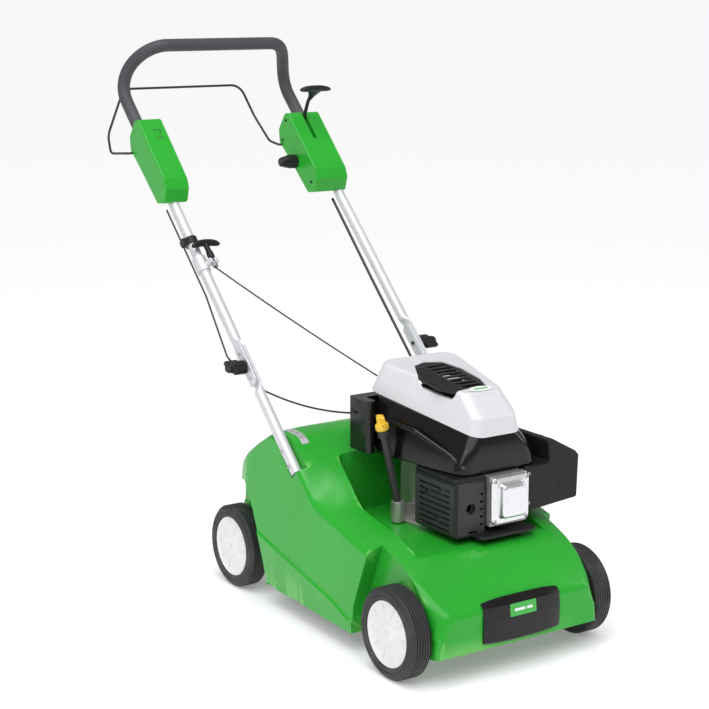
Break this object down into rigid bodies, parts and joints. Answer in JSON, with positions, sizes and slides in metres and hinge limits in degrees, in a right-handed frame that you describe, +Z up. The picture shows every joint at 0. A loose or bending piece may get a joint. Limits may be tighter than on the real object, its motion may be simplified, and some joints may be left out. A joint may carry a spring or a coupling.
{
  "type": "lawn scarifier",
  "caption": "Petrol lawn scarifier: green housing on four wheels, knife rotor below, upright-shaft engine on top, folding tube handle with stop bail and height lever.",
  "frame": {"origin": "middle of the machine's footprint box, on the ground", "axes": "+Z up, -Y towards the nose (direction of travel), +Y towards the operator, +X towards the operator's left"},
  "size_m": [0.58, 1.3414, 1.2572],
  "materials": {
    "green_plastic": "moulded gloss green plastic",
    "black_plastic": "fine grained black plastic",
    "silver_paint": "silver powder coat",
    "grip_foam": "soft dark grey foam",
    "tyre_rubber": "dull black tread rubber",
    "rim_plastic": "satin white plastic",
    "steel": "turned steel",
    "blade_steel": "hardened steel, scuffed edges",
    "cast_aluminium": "sand blasted casting",
    "bright_cover": "bright pressed cover",
    "yellow_plastic": "gloss yellow plastic",
    "frame_paint": "satin black paint",
    "belt_rubber": "dull belt rubber",
    "silver_plastic": "silver lacquered plastic",
    "cable_sheath": "smooth black cable sheath"
  },
  "bodies": {
    "chassis": {"air_filter_box": "black_plastic", "badge": "green_plastic", "blade_bearing_left": "steel", "blade_bearing_right": "steel", "blower_shroud": "black_plastic", "chassis_frame": "frame_paint", "crankcase": "cast_aluminium", "cylinder": "cast_aluminium", "front_grip": "black_plastic", "fuel_tank": "black_plastic", "housing_shell": "green_plastic", "inlet_grille": "black_plastic", "lift_cable": "cable_sheath", "lower_tube_left": "silver_paint", "lower_tube_right": "silver_paint", "muffler": "frame_paint", "muffler_guard": "black_plastic", "oil_tube": "black_plastic", "rear_axle": "steel", "starter_cover": "silver_plastic", "starter_rope": "cable_sheath", "stop_cable": "cable_sheath", "v_belt": "belt_rubber", "valve_cover": "bright_cover"},
    "front_axle": {"front_axle": "steel"},
    "wheel_front_left": {"tyre_front_left": "tyre_rubber", "rim_front_left": "rim_plastic"},
    "wheel_front_right": {"tyre_front_right": "tyre_rubber", "rim_front_right": "rim_plastic"},
    "wheel_rear_left": {"tyre_rear_left": "tyre_rubber", "rim_rear_left": "rim_plastic"},
    "wheel_rear_right": {"tyre_rear_right": "tyre_rubber", "rim_rear_right": "rim_plastic"},
    "blade_rotor": {"blade_shaft": "steel", "blade_pulley": "steel", "blade_1": "blade_steel", "blade_2": "blade_steel", "blade_3": "blade_steel", "blade_4": "blade_steel", "blade_5": "blade_steel", "blade_6": "blade_steel", "blade_7": "blade_steel"},
    "engine_rotor": {"crankshaft": "steel", "flywheel": "cast_aluminium", "drive_pulley": "steel"},
    "recoil": {"recoil_pulley": "black_plastic"},
    "upper_handle": {"upper_tube": "silver_paint", "grip_sleeve": "grip_foam", "control_box_left": "green_plastic", "control_box_right": "green_plastic", "rope_guide": "silver_paint"},
    "stop_bail": {"stop_bail": "black_plastic"},
    "height_lever": {"height_lever": "black_plastic"},
    "depth_knob": {"depth_knob": "black_plastic"},
    "starter_grip": {"starter_grip": "black_plastic"},
    "clamp_knob_left": {"clamp_knob_left": "black_plastic"},
    "clamp_knob_right": {"clamp_knob_right": "black_plastic"},
    "rear_flap": {"rear_flap": "green_plastic"},
    "oil_dipstick": {"oil_dipstick": "yellow_plastic"},
    "fuel_cap": {"fuel_cap": "black_plastic"}
  },
  "joints": [
    {"name": "front_axle_lift", "type": "hinge", "parent": "chassis", "child": "front_axle", "pos_m": [0, -0.4425, 0.125], "axis": [-1, 0, 0], "range_deg": [0, 36]},
    {"name": "height_lever_swing", "type": "hinge", "parent": "upper_handle", "child": "height_lever", "pos_m": [0.2035, 0.5045, 0.986], "axis": [1, 0, 0], "range_deg": [0, 50]},
    {"name": "wheel_front_left_spin", "type": "hinge", "parent": "front_axle", "child": "wheel_front_left", "pos_m": [0.23975, -0.551, 0.097], "axis": [1, 0, 0], "continuous": true},
    {"name": "wheel_rear_left_spin", "type": "hinge", "parent": "chassis", "child": "wheel_rear_left", "pos_m": [0.21925, 0.116, 0.097], "axis": [1, 0, 0], "continuous": true},
    {"name": "wheel_front_right_spin", "type": "hinge", "parent": "front_axle", "child": "wheel_front_right", "pos_m": [-0.23975, -0.551, 0.097], "axis": [1, 0, 0], "continuous": true},
    {"name": "wheel_rear_right_spin", "type": "hinge", "parent": "chassis", "child": "wheel_rear_right", "pos_m": [-0.21925, 0.116, 0.097], "axis": [1, 0, 0], "continuous": true},
    {"name": "blade_rotor_spin", "type": "hinge", "parent": "chassis", "child": "blade_rotor", "pos_m": [0, -0.1875, 0.11], "axis": [1, 0, 0], "continuous": true},
    {"name": "engine_rotor_spin", "type": "hinge", "parent": "chassis", "child": "engine_rotor", "pos_m": [0.053, -0.3215, 0.3], "axis": [0, 0, 1], "continuous": true},
    {"name": "starter_pull", "type": "slide", "parent": "upper_handle", "child": "starter_grip", "axis": [0, 0.2, 0.9798], "range_m": [0, 0.45], "stiffness_N_per_m": 40, "springref_m": -0.3},
    {"name": "recoil_pulley_spin", "type": "hinge", "parent": "chassis", "child": "recoil", "pos_m": [0.053, -0.3215, 0.447], "axis": [0, 0, 1], "range_deg": [0, 720]},
    {"name": "handle_fold", "type": "hinge", "parent": "chassis", "child": "upper_handle", "pos_m": [0, 0.0405, 0.5434], "axis": [1, 0, 0], "range_deg": [0, 120], "deforming": ["stop_cable", "lift_cable", "starter_rope"]},
    {"name": "stop_bail_swing", "type": "hinge", "parent": "upper_handle", "child": "stop_bail", "pos_m": [0, 0.5275, 0.987], "axis": [1, 0, 0], "range_deg": [0, 5], "stiffness_Nm_per_rad": 2, "springref_deg": -28.65},
    {"name": "depth_knob_turn", "type": "hinge", "parent": "upper_handle", "child": "depth_knob", "pos_m": [0.158, 0.4595, 0.95], "axis": [1, 0, 0], "range_deg": [0, 270]},
    {"name": "clamp_knob_left_turn", "type": "hinge", "parent": "chassis", "child": "clamp_knob_left", "pos_m": [0.248, 0.0405, 0.5434], "axis": [1, 0, 0], "continuous": true},
    {"name": "clamp_knob_right_turn", "type": "hinge", "parent": "chassis", "child": "clamp_knob_right", "pos_m": [-0.248, 0.0405, 0.5434], "axis": [1, 0, 0], "continuous": true},
    {"name": "rear_flap_swing", "type": "hinge", "parent": "chassis", "child": "rear_flap", "pos_m": [0, 0.1415, 0.243], "axis": [1, 0, 0], "range_deg": [0, 75]},
    {"name": "oil_dipstick_lift", "type": "slide", "parent": "chassis", "child": "oil_dipstick", "axis": [-0.2024, 0.0491, 0.9781], "range_m": [0, 0.17]},
    {"name": "fuel_cap_turn", "type": "hinge", "parent": "chassis", "child": "fuel_cap", "pos_m": [0.21, -0.2025, 0.4723], "axis": [0, 0, 1], "range_deg": [0, 90]}
  ],
  "couplings": [
    {"joint": "height_lever_swing", "follows": "front_axle_lift", "ratio": 1.3888},
    {"joint": "blade_rotor_spin", "follows": "engine_rotor_spin", "ratio": 0.75},
    {"joint": "recoil_pulley_spin", "follows": "starter_pull", "rad_per_m": 27.7}
  ]
}
